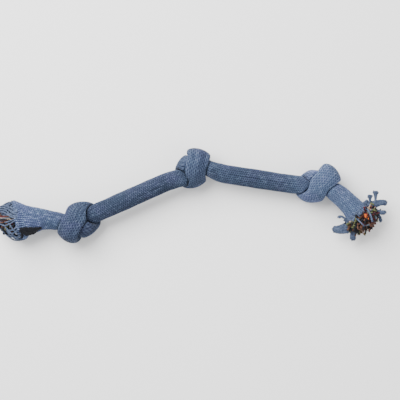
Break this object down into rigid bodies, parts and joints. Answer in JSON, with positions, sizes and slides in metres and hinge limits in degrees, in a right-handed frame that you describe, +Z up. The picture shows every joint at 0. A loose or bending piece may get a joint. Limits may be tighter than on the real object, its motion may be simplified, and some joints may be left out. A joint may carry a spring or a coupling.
{
  "type": "rope dog toy",
  "caption": "Braided rope tug toy for a dog, tied in overhand knots along its length, with both ends frayed into tassels.",
  "frame": {"origin": "in the middle of the flat that the middle knot stands on, under that knot", "axes": "+Z up off the table, +X along the toy towards its right-hand tassel, +Y towards the outside of the arch"},
  "size_m": [0.5396, 0.1286, 0.0493],
  "materials": {
    "braided_sleeve": "blue-grey braided cotton, matt",
    "core_yarn": "loose mixed yarn in brown, red, orange, olive and cream, matt"
  },
  "bodies": {
    "middle_knot": {"left_stretch_inner_sleeve": "braided_sleeve", "left_stretch_inner_core": "core_yarn", "middle_knot_sleeve": "braided_sleeve", "middle_knot_core": "core_yarn", "right_stretch_inner_sleeve": "braided_sleeve", "right_stretch_inner_core": "core_yarn"},
    "left_stretch": {"left_stretch_bend_sleeve": "braided_sleeve", "left_stretch_bend_core": "core_yarn"},
    "left_knot": {"left_stretch_outer_sleeve": "braided_sleeve", "left_stretch_outer_core": "core_yarn", "left_knot_sleeve": "braided_sleeve", "left_knot_core": "core_yarn"},
    "left_tail": {"left_tail_bend_sleeve": "braided_sleeve", "left_tail_bend_core": "core_yarn"},
    "left_tassel": {"left_tassel_sleeve": "braided_sleeve", "left_tassel_core": "core_yarn"},
    "right_stretch": {"right_stretch_bend_sleeve": "braided_sleeve", "right_stretch_bend_core": "core_yarn"},
    "right_knot": {"right_stretch_outer_sleeve": "braided_sleeve", "right_stretch_outer_core": "core_yarn", "right_knot_sleeve": "braided_sleeve", "right_knot_core": "core_yarn"},
    "right_tail": {"right_tail_bend_sleeve": "braided_sleeve", "right_tail_bend_core": "core_yarn"},
    "right_tassel": {"right_tassel_sleeve": "braided_sleeve", "right_tassel_core": "core_yarn"}
  },
  "joints": [
    {"name": "left_stretch_swing", "type": "hinge", "parent": "middle_knot", "child": "left_stretch", "pos_m": [-0.05512, -0.02217, 0.02523], "axis": [0, 0, 1], "range_deg": [-60, 60], "deforming": ["left_stretch_inner_sleeve", "left_stretch_inner_core", "left_stretch_bend_sleeve", "left_stretch_bend_core"]},
    {"name": "left_stretch_lift", "type": "hinge", "parent": "left_stretch", "child": "left_knot", "pos_m": [-0.08698, -0.03633, 0.02525], "axis": [-0.4041, 0.9147, 0], "range_deg": [-60, 60], "deforming": ["left_stretch_bend_sleeve", "left_stretch_bend_core", "left_stretch_outer_sleeve", "left_stretch_outer_core"]},
    {"name": "left_tail_swing", "type": "hinge", "parent": "left_knot", "child": "left_tail", "pos_m": [-0.18721, -0.06319, 0.02481], "axis": [0, 0, 1], "range_deg": [-35, 35], "deforming": ["left_knot_sleeve", "left_knot_core", "left_tail_bend_sleeve", "left_tail_bend_core"]},
    {"name": "left_tail_lift", "type": "hinge", "parent": "left_tail", "child": "left_tassel", "pos_m": [-0.20015, -0.0621, 0.02481], "axis": [0.0456, 0.999, 0], "range_deg": [-35, 35], "deforming": ["left_tail_bend_sleeve", "left_tail_bend_core", "left_tassel_sleeve", "left_tassel_core"]},
    {"name": "right_stretch_swing", "type": "hinge", "parent": "middle_knot", "child": "right_stretch", "pos_m": [0.0748, -0.00431, 0.02484], "axis": [0, 0, 1], "range_deg": [-60, 60], "deforming": ["right_stretch_inner_sleeve", "right_stretch_inner_core", "right_stretch_bend_sleeve", "right_stretch_bend_core"]},
    {"name": "right_stretch_lift", "type": "hinge", "parent": "right_stretch", "child": "right_knot", "pos_m": [0.10799, -0.00943, 0.02467], "axis": [-0.1539, -0.9881, 0], "range_deg": [-60, 60], "deforming": ["right_stretch_bend_sleeve", "right_stretch_bend_core", "right_stretch_outer_sleeve", "right_stretch_outer_core"]},
    {"name": "right_tail_swing", "type": "hinge", "parent": "right_knot", "child": "right_tail", "pos_m": [0.20911, -0.03223, 0.02423], "axis": [0, 0, 1], "range_deg": [-35, 35], "deforming": ["right_knot_sleeve", "right_knot_core", "right_tail_bend_sleeve", "right_tail_bend_core"]},
    {"name": "right_tail_lift", "type": "hinge", "parent": "right_tail", "child": "right_tassel", "pos_m": [0.21844, -0.04127, 0.0243], "axis": [-0.7225, -0.6914, 0], "range_deg": [-35, 35], "deforming": ["right_tail_bend_sleeve", "right_tail_bend_core", "right_tassel_sleeve", "right_tassel_core"]}
  ]
}
